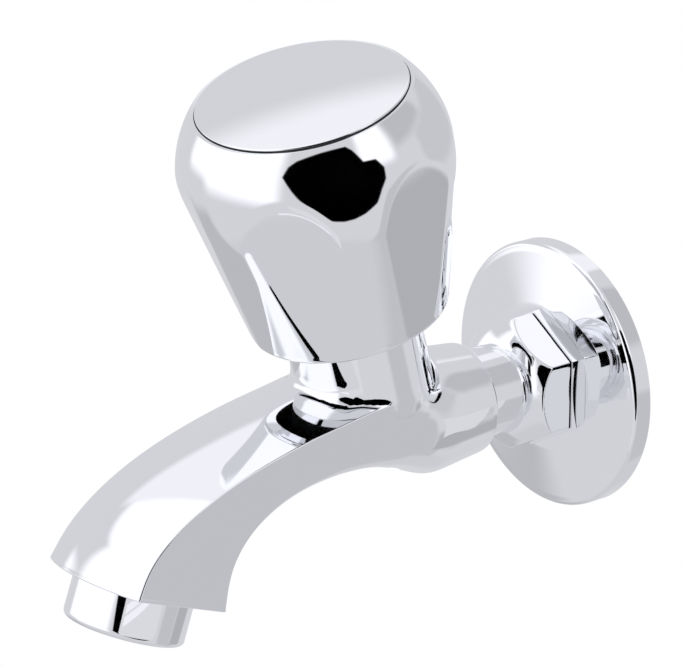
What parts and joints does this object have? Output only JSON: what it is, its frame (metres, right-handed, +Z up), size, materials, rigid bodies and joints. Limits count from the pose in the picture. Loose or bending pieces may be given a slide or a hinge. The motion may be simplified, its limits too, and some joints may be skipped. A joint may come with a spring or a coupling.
{
  "type": "bib tap",
  "caption": "Wall-mounted chrome bib tap with a curved spout, an aerator, a tilted round handle that turns to lift the valve, and a wall flange.",
  "frame": {"origin": "on the wall plane, at the axis of the inlet thread", "axes": "+X to the user's right, +Y into the wall along the inlet, +Z up; the spout points to -Y"},
  "size_m": [0.0538, 0.1338, 0.1084],
  "materials": {
    "chrome": "polished",
    "brass": "machined",
    "steel": "satin",
    "rubber": "matte",
    "fibre": "matte",
    "plastic": "satin"
  },
  "bodies": {
    "body": {"tap_body": "chrome", "inlet_nipple": "chrome", "nipple_gasket": "fibre", "wall_flange": "chrome", "headwork_body": "brass", "headwork_gasket": "fibre", "aerator_shell": "chrome", "aerator_gasket": "rubber", "aerator_cage": "plastic", "aerator_screens": "steel", "aerator_grille": "plastic"},
    "handle": {"spindle": "brass", "spindle_rings": "rubber", "spindle_clip": "steel", "thrust_washer": "plastic", "handle_shell": "chrome", "handle_bush": "plastic", "handle_screw": "steel", "handle_screw_washer": "steel", "handle_cap": "chrome", "cap_ring": "rubber"},
    "valve": {"valve_plunger": "brass", "seat_washer": "rubber", "washer_screw": "steel"}
  },
  "joints": [
    {"name": "handle_turn", "type": "hinge", "parent": "body", "child": "handle", "pos_m": [0, -0.0482, 0], "axis": [0, -0.2521, 0.9677], "range_deg": [0, 810]},
    {"name": "valve_lift", "type": "slide", "parent": "body", "child": "valve", "axis": [0, -0.2521, 0.9677], "range_m": [0, 0.00496]}
  ],
  "couplings": [
    {"joint": "valve_lift", "follows": "handle_turn", "m_per_rad": 0.00035014}
  ]
}
